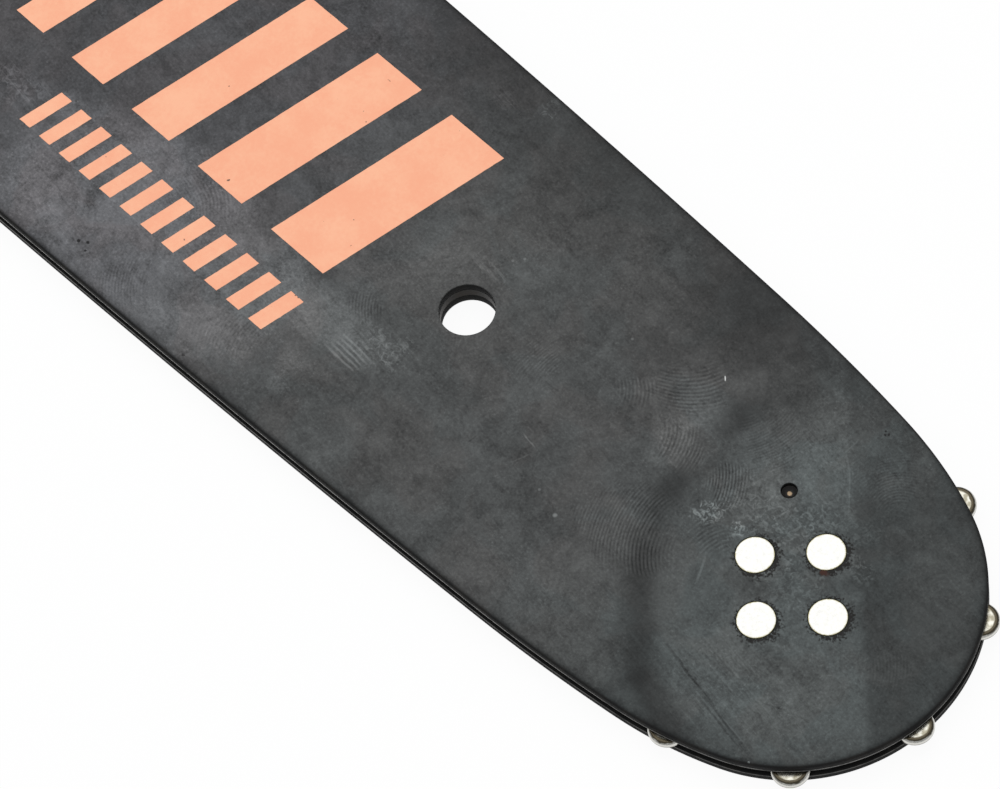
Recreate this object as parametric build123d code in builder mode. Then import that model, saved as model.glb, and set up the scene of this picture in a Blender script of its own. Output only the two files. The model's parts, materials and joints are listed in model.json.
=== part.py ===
from build123d import *

import math
import os

os.makedirs("parts", exist_ok=True)

# Laminated guide bar for a small chainsaw, in millimetres.
# It lies flat with its lower face on Z = 0 and its nose towards +X.
# The origin is the middle of the stud slot, on the lower face.

# Laminations
bar_length = 395.0  # tail end to the rails at the tip of the nose
side_plate = 1.40  # thickness of each outer plate
groove_width = 1.27  # chain groove, and so the thickness of the core
groove_depth = 6.5  # from the edge of the rails down to the core
edge_chamfer = 0.45  # broken outer edge all round each plate

# Rail outline: tangent arcs from the tip of the nose to the tail
nose_radius = 22.5
nose_sweep = 68.4
shoulder_radius = 56.0
shoulder_sweep = 14.0
flank_radius = 256.0
flank_sweep = 4.9
front_rail_radius = 2480.0
tail_corner_radius = 14.0
tail_flat = 16.0  # straight end of the tail, between its corners

# Saw mount at the tail
slot_width = 8.2
slot_length = 58.0
slot_wall = 10.0  # metal between the slot and the tail end
tensioner_radius = 3.2
tensioner_ahead = 16.0  # ahead of the middle of the slot
tensioner_offset = 12.2  # to each side of the bar's axis
oil_hole_radius = 1.3
oil_hole_ahead = 34.0  # ahead of the middle of the slot
oil_hole_inset = 4.2  # from the edge of the rail, above the open groove

# Hole for hanging the bar up
hang_hole_radius = 3.4
hang_hole_back = 53.2  # behind the sprocket's axis

# Nose rivets: straight, ground flush with both faces
rivet_count = 4
rivet_circle_radius = 5.8
rivet_radius = 2.3
rivet_fit = 0.02  # gap all round between a rivet and its holes

# Nose bearing: fixed inner race, a full ring of rollers, and the sprocket as outer race
race_wall = 0.9  # between the rivets and the roller track
roller_radius = 1.8
roller_gap = 0.05  # smallest gap between neighbouring rollers
track_clearance = 0.04  # radial, on each side of the rollers
side_clearance = 0.08  # between the moving pieces and each side plate
grease_hole_radius = 1.0
grease_hole_offset = 1.3  # outwards from the roller circle
grease_hole_angle = 135.0

# Nose sprocket
tooth_count = 9
tooth_reach = 1.6  # tips beyond the nose rails
tooth_dome_radius = 2.3
tooth_flank_angle = 16.0  # each flank against the tooth's own axis
tooth_phase = -6.7  # turn of the first tooth from the tip of the nose
rim_wall = 3.0  # between the bore and the bottom of the gullets

# Clear space for the sprocket in the core
pocket_clearance = 0.9
horn_round = 0.8

# Places that follow from these sizes
tail_x = -slot_length / 2 - slot_wall
nose_x = tail_x + bar_length - nose_radius
core_bottom = side_plate
core_top = side_plate + groove_width
bar_thickness = groove_width + 2 * side_plate

race_radius = rivet_circle_radius + rivet_radius + race_wall
roller_circle_radius = race_radius + track_clearance + roller_radius
bore_radius = roller_circle_radius + roller_radius + track_clearance
roller_pitch = 2 * roller_radius + roller_gap
roller_count = int(math.pi / math.asin(roller_pitch / (2 * roller_circle_radius)))
moving_thickness = groove_width - 2 * side_clearance
moving_bottom = core_bottom + side_clearance

gullet_radius = bore_radius + rim_wall
tooth_tip_radius = nose_radius + tooth_reach
dome_centre = tooth_tip_radius - tooth_dome_radius
flank_lean = math.radians(tooth_flank_angle)
# The flanks of neighbouring teeth would meet in a corner, which the gullet rounds down to its bottom
flank_distance = dome_centre * math.sin(flank_lean) + tooth_dome_radius
half_pitch = math.pi / tooth_count
half_gap = half_pitch + flank_lean
gullet_corner = flank_distance / math.sin(half_gap)
gullet_round = (gullet_radius - gullet_corner) / (1 / math.sin(half_gap) - 1)
pocket_radius = tooth_tip_radius + pocket_clearance

# Edge of the rails, all round the bar
with BuildLine() as rail_outline:
    nose = JernArc((nose_x + nose_radius, 0), (0, 1), nose_radius, nose_sweep)
    shoulder = JernArc(nose @ 1, nose % 1, shoulder_radius, shoulder_sweep)
    flank = JernArc(shoulder @ 1, shoulder % 1, flank_radius, flank_sweep)
    # The front rail runs to the widest point, where it lies along the bar
    front_sweep = 90 - nose_sweep - shoulder_sweep - flank_sweep
    front_rail = JernArc(flank @ 1, flank % 1, front_rail_radius, front_sweep)
    widest = front_rail @ 1
    # The rear rail narrows from there in one arc that meets the round of the tail corner
    rear_run = widest.X - tail_x - tail_corner_radius
    rear_drop = widest.Y - tail_flat / 2
    rear_chord_squared = rear_run**2 + rear_drop**2 - tail_corner_radius**2
    rear_rail_radius = rear_chord_squared / (2 * (rear_drop - tail_corner_radius))
    rear_sweep = math.degrees(math.asin(rear_run / (rear_rail_radius - tail_corner_radius)))
    rear_rail = JernArc(widest, front_rail % 1, rear_rail_radius, rear_sweep)
    tail_corner = JernArc(rear_rail @ 1, rear_rail % 1, tail_corner_radius, 90 - rear_sweep)
    Line(tail_corner @ 1, (tail_x, 0))
    mirror(about=Plane.XZ)

# Centres of the holes, in the plane of the bar
hang_hole_at = (nose_x - hang_hole_back, 0)
tensioner_spots = [(tensioner_ahead, tensioner_offset), (tensioner_ahead, -tensioner_offset)]
oil_rail_run = widest.X - oil_hole_ahead
oil_rail_y = widest.Y - rear_rail_radius + math.sqrt(rear_rail_radius**2 - oil_rail_run**2)
oil_spots = [(oil_hole_ahead, oil_rail_y - oil_hole_inset), (oil_hole_ahead, oil_hole_inset - oil_rail_y)]
grease_reach = roller_circle_radius + grease_hole_offset

# Mount and hanging holes, which go through every lamination
with BuildSketch() as shared_holes:
    SlotOverall(slot_length, slot_width)
    with Locations(*tensioner_spots):
        Circle(tensioner_radius)
    with Locations(hang_hole_at):
        Circle(hang_hole_radius)

# Oil holes, which go through the side plates into the groove
with BuildSketch() as oil_holes:
    with Locations(*oil_spots):
        Circle(oil_hole_radius)


# Broken edge, then the holes, of one side plate with its outer face on the given plane
def finish_side_plate(plate, outer_plane, outwards):
    chamfer(plate.faces().sort_by(outwards)[-1].outer_wire().edges(), length=edge_chamfer)
    extrude(shared_holes.sketch + oil_holes.sketch, amount=bar_thickness, mode=Mode.SUBTRACT)
    with Locations(outer_plane):
        with PolarLocations(rivet_circle_radius, rivet_count):
            Hole(rivet_radius + rivet_fit, depth=side_plate)


lower_face = Plane((nose_x, 0, 0), z_dir=(0, 0, -1))
upper_face = Plane((nose_x, 0, bar_thickness))

with BuildPart() as lower_side_plate:
    with BuildSketch(Plane.XY):
        make_face(rail_outline.edges())
    extrude(amount=side_plate)
    finish_side_plate(lower_side_plate, lower_face, -Axis.Z)

with BuildPart() as upper_side_plate:
    with BuildSketch(Plane.XY.offset(core_top)):
        make_face(rail_outline.edges())
    extrude(amount=side_plate)
    finish_side_plate(upper_side_plate, upper_face, Axis.Z)
    with BuildSketch(upper_face):
        with PolarLocations(grease_reach, 1, start_angle=grease_hole_angle):
            Circle(grease_hole_radius)
    extrude(amount=-side_plate, mode=Mode.SUBTRACT)

# Core: set back from the rails by the groove, flush at the tail, hollowed out round the sprocket
with BuildPart() as core_plate:
    with BuildSketch(Plane.XY.offset(core_bottom)) as core_section:
        make_face(rail_outline.edges())
        offset(amount=-groove_depth, mode=Mode.REPLACE)
        with Locations((tail_x, 0)):
            Rectangle(groove_depth + tail_corner_radius, tail_flat, align=(Align.MIN, Align.CENTER))
        with Locations((nose_x, 0)):
            Circle(pocket_radius, mode=Mode.SUBTRACT)
        fillet(core_section.vertices().sort_by(Axis.X)[-2:], radius=horn_round)
    extrude(amount=groove_width)
    extrude(shared_holes.sketch, amount=bar_thickness, mode=Mode.SUBTRACT)

# Fixed inner race, clamped between the side plates by the rivets
with BuildPart() as bearing_race:
    with BuildSketch(Plane((nose_x, 0, core_bottom))):
        Circle(race_radius)
        with PolarLocations(rivet_circle_radius, rivet_count):
            Circle(rivet_radius + rivet_fit, mode=Mode.SUBTRACT)
    extrude(amount=groove_width)

# One tooth of the sprocket with its share of the hub, pointing along its own X
dome_start_x = dome_centre + tooth_dome_radius * math.sin(flank_lean)
dome_start_y = tooth_dome_radius * math.cos(flank_lean)
corner_x = gullet_corner * math.cos(half_pitch)
corner_y = gullet_corner * math.sin(half_pitch)

with BuildSketch() as tooth:
    with BuildLine():
        Polyline(
            (dome_start_x, -dome_start_y),
            (corner_x, -corner_y),
            (0, 0),
            (corner_x, corner_y),
            (dome_start_x, dome_start_y),
        )
        ThreePointArc((dome_start_x, dome_start_y), (tooth_tip_radius, 0), (dome_start_x, -dome_start_y))
    make_face()

sprocket_plane = Plane(
    origin=(nose_x, 0, moving_bottom),
    x_dir=Vector(1, 0, 0).rotate(Axis.Z, tooth_phase),
    z_dir=(0, 0, 1),
)

with BuildPart() as nose_sprocket:
    with BuildSketch(sprocket_plane) as star:
        with PolarLocations(0, tooth_count):
            add(tooth.sketch)
        gullet_corners = star.vertices().sort_by_distance((0, 0))[:tooth_count]
        fillet(gullet_corners, radius=gullet_round)
        Circle(bore_radius, mode=Mode.SUBTRACT)
    extrude(amount=moving_thickness)

upper_side_plate.part.label = "upper_side_plate"
lower_side_plate.part.label = "lower_side_plate"
core_plate.part.label = "core_plate"
bearing_race.part.label = "bearing_race"
nose_sprocket.part.label = "nose_sprocket"
for piece in (upper_side_plate, lower_side_plate, core_plate, bearing_race, nose_sprocket):
    export_step(piece.part, f"parts/{piece.part.label}.step")

# Loose rollers between the race and the bore of the sprocket
for number in range(roller_count):
    turn = 2 * math.pi * number / roller_count
    roller_at = (
        nose_x + roller_circle_radius * math.cos(turn),
        roller_circle_radius * math.sin(turn),
        moving_bottom,
    )
    with BuildPart() as roller:
        with BuildSketch(Plane(roller_at)):
            Circle(roller_radius)
        extrude(amount=moving_thickness)
    roller.part.label = f"roller_{number + 1:02d}"
    export_step(roller.part, f"parts/{roller.part.label}.step")

# Rivets, numbered round from the tip of the nose
for number in range(rivet_count):
    turn = 2 * math.pi * number / rivet_count
    rivet_at = (nose_x + rivet_circle_radius * math.cos(turn), rivet_circle_radius * math.sin(turn), 0)
    with BuildPart() as rivet:
        with BuildSketch(Plane(rivet_at)):
            Circle(rivet_radius)
        extrude(amount=bar_thickness)
    rivet.part.label = f"nose_rivet_{number + 1}"
    export_step(rivet.part, f"parts/{rivet.part.label}.step")
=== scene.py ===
import json
import math

import bmesh
import bpy
from mathutils import Matrix, Vector


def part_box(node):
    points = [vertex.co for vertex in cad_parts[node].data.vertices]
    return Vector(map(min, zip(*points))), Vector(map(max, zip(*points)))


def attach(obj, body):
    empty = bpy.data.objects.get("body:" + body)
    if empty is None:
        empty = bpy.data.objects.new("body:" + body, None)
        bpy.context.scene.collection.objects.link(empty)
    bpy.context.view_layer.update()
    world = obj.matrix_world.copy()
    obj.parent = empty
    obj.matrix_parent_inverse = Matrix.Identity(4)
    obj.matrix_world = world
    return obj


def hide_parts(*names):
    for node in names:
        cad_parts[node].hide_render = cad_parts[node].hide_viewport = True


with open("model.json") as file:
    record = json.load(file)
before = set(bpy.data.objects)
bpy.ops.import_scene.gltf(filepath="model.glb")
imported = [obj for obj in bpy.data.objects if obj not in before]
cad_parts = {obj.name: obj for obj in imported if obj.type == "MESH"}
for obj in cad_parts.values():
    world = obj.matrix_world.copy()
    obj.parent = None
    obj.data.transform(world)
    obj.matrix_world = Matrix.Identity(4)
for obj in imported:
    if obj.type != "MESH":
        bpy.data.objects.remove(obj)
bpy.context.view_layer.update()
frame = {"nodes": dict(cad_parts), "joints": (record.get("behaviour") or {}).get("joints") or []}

scene = bpy.context.scene
scene.view_settings.view_transform = "Standard"
mm = 0.001

# Places that the frame gives, in millimetres
noseX = frame["joints"][0]["pos_m"][0] / mm
lowerLow, lowerHigh = (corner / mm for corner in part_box("lower_side_plate"))
upperLow, upperHigh = (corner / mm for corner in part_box("upper_side_plate"))
wheelLow, wheelHigh = (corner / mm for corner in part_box("nose_sprocket"))
tailX = lowerLow.x
faceZ = upperHigh.z
print("frame: nose axis at", round(noseX, 2), "face at", round(faceZ, 3))


# Short forms for nodes

def addNode(tree, kind, inputs=(), **settings):
    made = tree.nodes.new(kind)
    for name, setting in settings.items():
        setattr(made, name, setting)
    for key, source in dict(inputs).items():
        if isinstance(source, bpy.types.NodeSocket):
            tree.links.new(source, made.inputs[key])
        else:
            made.inputs[key].default_value = source
    return made


def maths(tree, operation, first, second=0.0, third=0.0):
    return addNode(tree, "ShaderNodeMath", {0: first, 1: second, 2: third}, operation=operation).outputs[0]


def vectorMaths(tree, operation, first, second=(0, 0, 0), output=0):
    return addNode(tree, "ShaderNodeVectorMath", {0: first, 1: second}, operation=operation).outputs[output]


def vectorScale(tree, vector, factor):
    made = addNode(tree, "ShaderNodeVectorMath", {0: vector, "Scale": factor}, operation="SCALE")
    return made.outputs[0]


def vectorLength(tree, vector):
    return addNode(tree, "ShaderNodeVectorMath", {0: vector}, operation="LENGTH").outputs["Value"]


def combine(tree, x=0.0, y=0.0, z=0.0):
    return addNode(tree, "ShaderNodeCombineXYZ", {0: x, 1: y, 2: z}).outputs[0]


def separate(tree, vector):
    return addNode(tree, "ShaderNodeSeparateXYZ", {0: vector}).outputs


def turned(tree, vector, angle):
    # about the upright axis
    inputs = {"Vector": vector, "Angle": angle}
    return addNode(tree, "ShaderNodeVectorRotate", inputs, rotation_type="Z_AXIS").outputs[0]


def ramp(tree, source, low, high, start=0.0, end=1.0):
    # eased from start, at low, to end, at high
    inputs = {"Value": source, "From Min": low, "From Max": high, "To Min": start, "To Max": end}
    return addNode(tree, "ShaderNodeMapRange", inputs, interpolation_type="SMOOTHSTEP").outputs["Result"]


patternStep = Vector((1.0, 1.7, 0.6))  # for each unit of shift


def noise(tree, place, size, detail=2.0, roughness=0.5, shift=0.0, warp=0.0):
    # size is that of one blotch, in the units of place, and each shift gives another pattern
    inputs = {"Scale": 1 / size, "Detail": detail, "Roughness": roughness, "Distortion": warp}
    inputs["Vector"] = vectorMaths(tree, "ADD", place, shift * patternStep) if shift else place
    return addNode(tree, "ShaderNodeTexNoise", inputs).outputs["Fac"]


def mixColour(tree, factor, first, second):
    inputs = {"Factor": factor, 6: first, 7: second}
    return addNode(tree, "ShaderNodeMix", inputs, data_type="RGBA").outputs[2]


def chain(tree, operation, parts):
    result = parts[0]
    for part in parts[1:]:
        result = maths(tree, operation, result, part)
    return result


def total(tree, *parts):
    return chain(tree, "ADD", parts)


def product(tree, *parts):
    return chain(tree, "MULTIPLY", parts)


def centred(tree, source, swing):
    # a noise of 0 to 1 made a change of up to half of swing either way
    return maths(tree, "MULTIPLY_ADD", source, swing, -swing / 2)


def newMaterial(name):
    made = bpy.data.materials.new(name)
    made.use_nodes = True
    tree = made.node_tree
    where = addNode(tree, "ShaderNodeTexCoord").outputs["Object"]
    return made, tree, tree.nodes["Principled BSDF"], vectorScale(tree, where, 1 / mm)


def flattened(tree, place):
    return vectorMaths(tree, "MULTIPLY", place, (1, 1, 0))


def fromSpot(tree, flat, spot):
    return vectorMaths(tree, "SUBTRACT", flat, (*spot, 0))


def distanceTo(tree, flat, spot):
    return vectorLength(tree, fromSpot(tree, flat, spot))


def insetFromEdge(tree):
    # millimetres in from the edge, which the meshes of the plates and the sprocket know
    return addNode(tree, "ShaderNodeAttribute", attribute_name="rimDistance").outputs["Fac"]


def paint(tree, shader, colour, roughness):
    tree.links.new(colour, shader.inputs["Base Color"])
    tree.links.new(roughness, shader.inputs["Roughness"])


def bump(tree, shader, height, depth, strength):
    made = addNode(tree, "ShaderNodeBump", {"Height": height, "Distance": depth * mm, "Strength": strength})
    tree.links.new(made.outputs[0], shader.inputs["Normal"])


# Camera: the photograph's view, in the part's frame

camera = {
    "place": (532.58, -163.55, 557.05),
    "right": (0.69992, 0.70673, -0.10323),
    "up": (-0.60033, 0.66043, 0.45105),
    "lens": 191.534,
    "sensorWidth": 36.0,
    "clipStart": 10.0,
}


def addCamera():
    data = bpy.data.cameras.new("camera")
    data.lens = camera["lens"]
    data.sensor_width = camera["sensorWidth"]
    data.clip_start = camera["clipStart"] * mm
    made = bpy.data.objects.new("camera", data)
    scene.collection.objects.link(made)
    right = Vector(camera["right"]).normalized()
    back = right.cross(Vector(camera["up"])).normalized()
    turn = Matrix((right, back.cross(right), back)).transposed()
    made.matrix_world = Matrix.Translation(Vector(camera["place"]) * mm) @ turn.to_4x4()
    scene.camera = made


addCamera()
print("camera set")


# Floor, world and lamps

studio = {
    "floorSize": 12000.0,
    "floorGap": 0.02,  # under the lower plate
    "floorColour": (0.93, 0.93, 0.93, 1),
    "floorRoughness": 0.9,
    "floorWhite": 0.94,  # share of plain white that the view sees, the rest keeps the shadow
    "horizon": (0.28, 0.285, 0.29, 1),
    "zenith": (0.80, 0.81, 0.82, 1),
    "skyTop": 0.8,  # height, as a share of straight up, where the zenith's colour is reached
    "boxWay": (-0.39, 0.26, 0.883),  # from the nose towards the large soft box
    "boxDistance": 1100.0,
    "boxSize": 900.0,
    "boxPower": 4.6,
}


def addFloor():
    half = studio["floorSize"] / 2
    z = lowerLow.z - studio["floorGap"]
    mesh = bpy.data.meshes.new("floor")
    corners = [(-half, -half, z), (half, -half, z), (half, half, z), (-half, half, z)]
    mesh.from_pydata([Vector(corner) * mm for corner in corners], [], [(0, 1, 2, 3)])
    floor = bpy.data.objects.new("floor", mesh)
    scene.collection.objects.link(floor)
    paper, tree, shader = newMaterial("paleFloor")[:3]
    shader.inputs["Base Color"].default_value = studio["floorColour"]
    shader.inputs["Roughness"].default_value = studio["floorRoughness"]
    shader.inputs["Specular IOR Level"].default_value = 0.0
    path = addNode(tree, "ShaderNodeLightPath").outputs
    seen = total(tree, path["Is Camera Ray"], path["Is Glossy Ray"], path["Is Transmission Ray"])
    share = product(tree, maths(tree, "MINIMUM", seen, 1.0), studio["floorWhite"])
    white = addNode(tree, "ShaderNodeEmission", {"Color": (1, 1, 1, 1), "Strength": 1.0}).outputs[0]
    both = addNode(tree, "ShaderNodeMixShader", {0: share, 1: shader.outputs[0], 2: white}).outputs[0]
    tree.links.new(both, tree.nodes["Material Output"].inputs["Surface"])
    mesh.materials.append(paper)


def addWorld():
    world = bpy.data.worlds.new("studio")
    scene.world = world
    world.use_nodes = True
    tree = world.node_tree
    way = addNode(tree, "ShaderNodeTexCoord").outputs["Generated"]
    rise = ramp(tree, separate(tree, way)["Z"], 0.0, studio["skyTop"])
    sky = mixColour(tree, rise, studio["horizon"], studio["zenith"])
    tree.links.new(sky, tree.nodes["Background"].inputs["Color"])


def addSoftBox():
    data = bpy.data.lights.new("softBox", "AREA")
    data.size = studio["boxSize"] * mm
    data.energy = studio["boxPower"]
    made = bpy.data.objects.new("softBox", data)
    scene.collection.objects.link(made)
    way = Vector(studio["boxWay"]).normalized()
    made.location = (Vector((noseX, 0, 0)) + way * studio["boxDistance"]) * mm
    made.rotation_mode = "QUATERNION"
    made.rotation_quaternion = way.to_track_quat("Z", "Y")


addFloor()
addWorld()
addSoftBox()
print("studio set")


# Side plates: one outline of tangent arcs, with a worn outer edge and a small lip at the groove

rails = {
    "noseRadius": 22.5,
    "noseSweep": 68.4,
    "shoulderRadius": 56.0,
    "shoulderSweep": 14.0,
    "flankRadius": 256.0,
    "flankSweep": 4.9,
    "frontRailRadius": 2480.0,
    "tailCornerRadius": 14.0,
    "tailFlat": 16.0,
    "arcError": 0.0012,
    "upperWear": (0.85, 0.48),  # flat round of the outer edge: across the face, and down the rail
    "lowerWear": (0.50, 0.30),
    "lipRound": 0.12,
    "roundSteps": 9,
    "lipSteps": 3,
    "flatMargin": 0.3,  # flat strip beside each round, so that the shading of the face stays flat
    "rimStrip": 2.4,  # width of the strip of the face that knows its distance from the edge
}

plateHoles = {
    "slotLength": 58.0,
    "slotWidth": 8.2,
    "tensionerRadius": 3.2,
    "tensionerAhead": 16.0,
    "tensionerOffset": 12.2,
    "oilRadius": 1.3,
    "oilAhead": 34.0,
    "oilInset": 4.2,
    "hangRadius": 3.4,
    "hangBack": 53.2,
    "rivetRadius": 2.32,
    "greaseRadius": 1.0,
    "greaseReach": 12.14,
    "greaseAngle": 135.0,
    "edgeRound": 0.06,
    "roundSteps": 3,
    "segments": 72,
}

rivets = {
    "count": 4,
    "circleRadius": 5.8,
    "radius": 2.3,
    "edgeRound": 0.05,
    "roundSteps": 3,
    "dish": 0.012,
    "dishRadius": 1.15,
    "flatRing": 0.25,  # between the dish and the broken edge
    "segments": 72,
}


def outward(turn):
    return Vector((math.cos(turn), math.sin(turn)))


def arcRun(start, heading, radius, sweep):
    # points along an arc that turns left, each with its way out of the metal, up to its end
    steps = math.ceil(math.radians(sweep) / (2 * math.acos(1 - rails["arcError"] / radius)))
    middle = start + radius * Vector((-math.sin(heading), math.cos(heading)))
    run = []
    for step in range(steps + 1):
        turn = heading + math.radians(sweep) * step / steps
        out = Vector((math.sin(turn), -math.cos(turn)))
        run.append((middle + radius * out, out))
    return run


def railOutline():
    half = [(Vector((noseX + rails["noseRadius"], 0)), Vector((1, 0)))]
    heading = 90.0
    for part in ("nose", "shoulder", "flank"):
        sweep = rails[part + "Sweep"]
        half += arcRun(half[-1][0], math.radians(heading), rails[part + "Radius"], sweep)[1:]
        heading += sweep
    half += arcRun(half[-1][0], math.radians(heading), rails["frontRailRadius"], 180 - heading)[1:]
    widest = half[-1][0]
    corner = rails["tailCornerRadius"]
    run = widest.x - tailX - corner
    drop = widest.y - rails["tailFlat"] / 2
    rearRadius = (run**2 + drop**2 - corner**2) / (2 * (drop - corner))
    rearSweep = math.degrees(math.asin(run / (rearRadius - corner)))
    half += arcRun(widest, math.pi, rearRadius, rearSweep)[1:]
    half += arcRun(half[-1][0], math.radians(180 + rearSweep), corner, 90 - rearSweep)[1:]
    half.append((Vector((tailX, 0)), Vector((-1, 0))))
    otherHalf = [(Vector((p.x, -p.y)), Vector((n.x, -n.y))) for p, n in half[-2:0:-1]]
    return half + otherHalf, widest, rearRadius


def circleLoop(x, y, radius):
    loop = []
    for step in range(plateHoles["segments"]):
        turn = 2 * math.pi * step / plateHoles["segments"]
        out = outward(turn)
        loop.append((Vector((x, y)) + radius * out, -out))
    return loop


def slotLoop(length, width):
    reach = (length - width) / 2
    loop = []
    for p, n in circleLoop(0, 0, width / 2):
        loop.append((p + Vector((math.copysign(reach, p.x), 0)), n))
    return loop


def edgeProfile(outerZ, innerZ, outerReach, outerDrop, innerRound, outerSteps, innerSteps):
    # steps in from the edge, and heights, from the flat outer face over the edge to the flat inner face
    rise = math.copysign(1, outerZ - innerZ)
    profile = [(outerReach + rails["flatMargin"], outerZ)]
    for step in range(outerSteps + 1):
        turn = math.pi / 2 * step / outerSteps
        drop = outerDrop * (1 - math.cos(turn))
        profile.append((outerReach * (1 - math.sin(turn)), outerZ - rise * drop))
    for step in range(innerSteps + 1):
        turn = math.pi / 2 * step / innerSteps
        lift = innerRound * (1 - math.sin(turn))
        profile.append((innerRound * (1 - math.cos(turn)), innerZ + rise * lift))
    profile.append((innerRound + rails["flatMargin"], innerZ))
    return profile


def aroundNose(radius, turn):
    return Vector((noseX + radius * math.cos(turn), radius * math.sin(turn)))


def greasePlace():
    return aroundNose(plateHoles["greaseReach"], math.radians(plateHoles["greaseAngle"]))


def joinRings(bm, rings):
    for ring, nextRing in zip(rings, rings[1:]):
        for i in range(len(ring)):
            bm.faces.new((ring[i - 1], ring[i], nextRing[i], nextRing[i - 1]))


def addPiece(name, bm, material):
    # a finished piece, with its place in its mesh
    for face in bm.faces:
        face.smooth = True
    bm.transform(Matrix.Scale(mm, 4))
    mesh = bpy.data.meshes.new(name)
    bm.to_mesh(mesh)
    bm.free()
    if material:
        mesh.materials.append(material)
    piece = bpy.data.objects.new(name, mesh)
    scene.collection.objects.link(piece)
    return piece


def holeLoops(widest, rearRadius, greased):
    oilRun = widest.x - plateHoles["oilAhead"]
    oilY = widest.y - rearRadius + math.sqrt(rearRadius**2 - oilRun**2) - plateHoles["oilInset"]
    loops = [slotLoop(plateHoles["slotLength"], plateHoles["slotWidth"])]
    for side in (-1, 1):
        tensionerY = side * plateHoles["tensionerOffset"]
        loops.append(circleLoop(plateHoles["tensionerAhead"], tensionerY, plateHoles["tensionerRadius"]))
        loops.append(circleLoop(plateHoles["oilAhead"], side * oilY, plateHoles["oilRadius"]))
    loops.append(circleLoop(noseX - plateHoles["hangBack"], 0, plateHoles["hangRadius"]))
    for number in range(rivets["count"]):
        middle = aroundNose(rivets["circleRadius"], 2 * math.pi * number / rivets["count"])
        loops.append(circleLoop(*middle, plateHoles["rivetRadius"]))
    if greased:
        loops.append(circleLoop(*greasePlace(), plateHoles["greaseRadius"]))
    return loops


def sidePlate(name, outerZ, innerZ, wear, greased, material):
    outline, widest, rearRadius = railOutline()
    railEdge = [(rails["rimStrip"], outerZ)]
    railEdge += edgeProfile(outerZ, innerZ, *wear, rails["lipRound"], rails["roundSteps"], rails["lipSteps"])
    holeRound, holeSteps = plateHoles["edgeRound"], plateHoles["roundSteps"]
    holeEdge = edgeProfile(outerZ, innerZ, holeRound, holeRound, holeRound, holeSteps, holeSteps)
    edges = [(outline, railEdge)] + [(loop, holeEdge) for loop in holeLoops(widest, rearRadius, greased)]
    bm = bmesh.new()
    rimDistance = bm.verts.layers.float.new("rimDistance")
    faceEdges = ([], [])
    for loop, profile in edges:
        rings = []
        for inset, z in profile:
            ring = [bm.verts.new((*(p - inset * n), z)) for p, n in loop]
            for vert in ring:
                vert[rimDistance] = inset if loop is outline else rails["rimStrip"]
            rings.append(ring)
        joinRings(bm, rings)
        for ends, ring in zip(faceEdges, (rings[0], rings[-1])):
            ends += [bm.edges.get((ring[i - 1], ring[i])) for i in range(len(loop))]
    for ends in faceEdges:
        bmesh.ops.triangle_fill(bm, edges=ends, use_beauty=True)
    bmesh.ops.recalc_face_normals(bm, faces=bm.faces[:])
    return addPiece(name, bm, material)


def turnedShape(name, middle, profile, segments, material):
    # a closed shape turned about an upright axis from its radii and heights
    bm = bmesh.new()
    rings = []
    for radius, z in profile:
        ring = []
        for step in range(segments):
            turn = 2 * math.pi * step / segments
            ring.append(bm.verts.new((*(middle + radius * outward(turn)), z)))
        rings.append(ring)
    joinRings(bm, rings)
    bm.faces.new(rings[0])
    bm.faces.new(rings[-1])
    bmesh.ops.recalc_face_normals(bm, faces=bm.faces[:])
    return addPiece(name, bm, material)


# Geometry Nodes trees for what repeats

weldDistance = 0.0001  # millimetres


def newTree(name, sockets):
    tree = bpy.data.node_groups.new(name, "GeometryNodeTree")
    for socketName, kind in sockets.items():
        tree.interface.new_socket(socketName, in_out="INPUT", socket_type=kind)
    tree.interface.new_socket("Geometry", in_out="OUTPUT", socket_type="NodeSocketGeometry")
    return tree, tree.nodes.new("NodeGroupInput").outputs


def endTree(tree, geometry, material):
    solid = addNode(tree, "GeometryNodeRealizeInstances", {0: geometry}).outputs[0]
    inputs = {"Geometry": solid, "Distance": weldDistance * mm}
    welded = addNode(tree, "GeometryNodeMergeByDistance", inputs).outputs[0]
    painted = addNode(tree, "GeometryNodeSetMaterial", {0: welded, "Material": material}).outputs[0]
    addNode(tree, "NodeGroupOutput", {0: painted})


def meshFromTree(name, tree, values):
    # the tree's result as a plain mesh
    piece = bpy.data.objects.new(name, bpy.data.meshes.new(name))
    scene.collection.objects.link(piece)
    modifier = piece.modifiers.new("nodes", "NODES")
    modifier.node_group = tree
    for socket in tree.interface.items_tree:
        if socket.in_out == "INPUT":
            modifier[socket.identifier] = values[socket.name]
    depsgraph = bpy.context.evaluated_depsgraph_get()
    mesh = bpy.data.meshes.new_from_object(piece.evaluated_get(depsgraph), depsgraph=depsgraph)
    piece.modifiers.remove(modifier)
    piece.data = mesh
    mesh.name = name
    return piece


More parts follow.
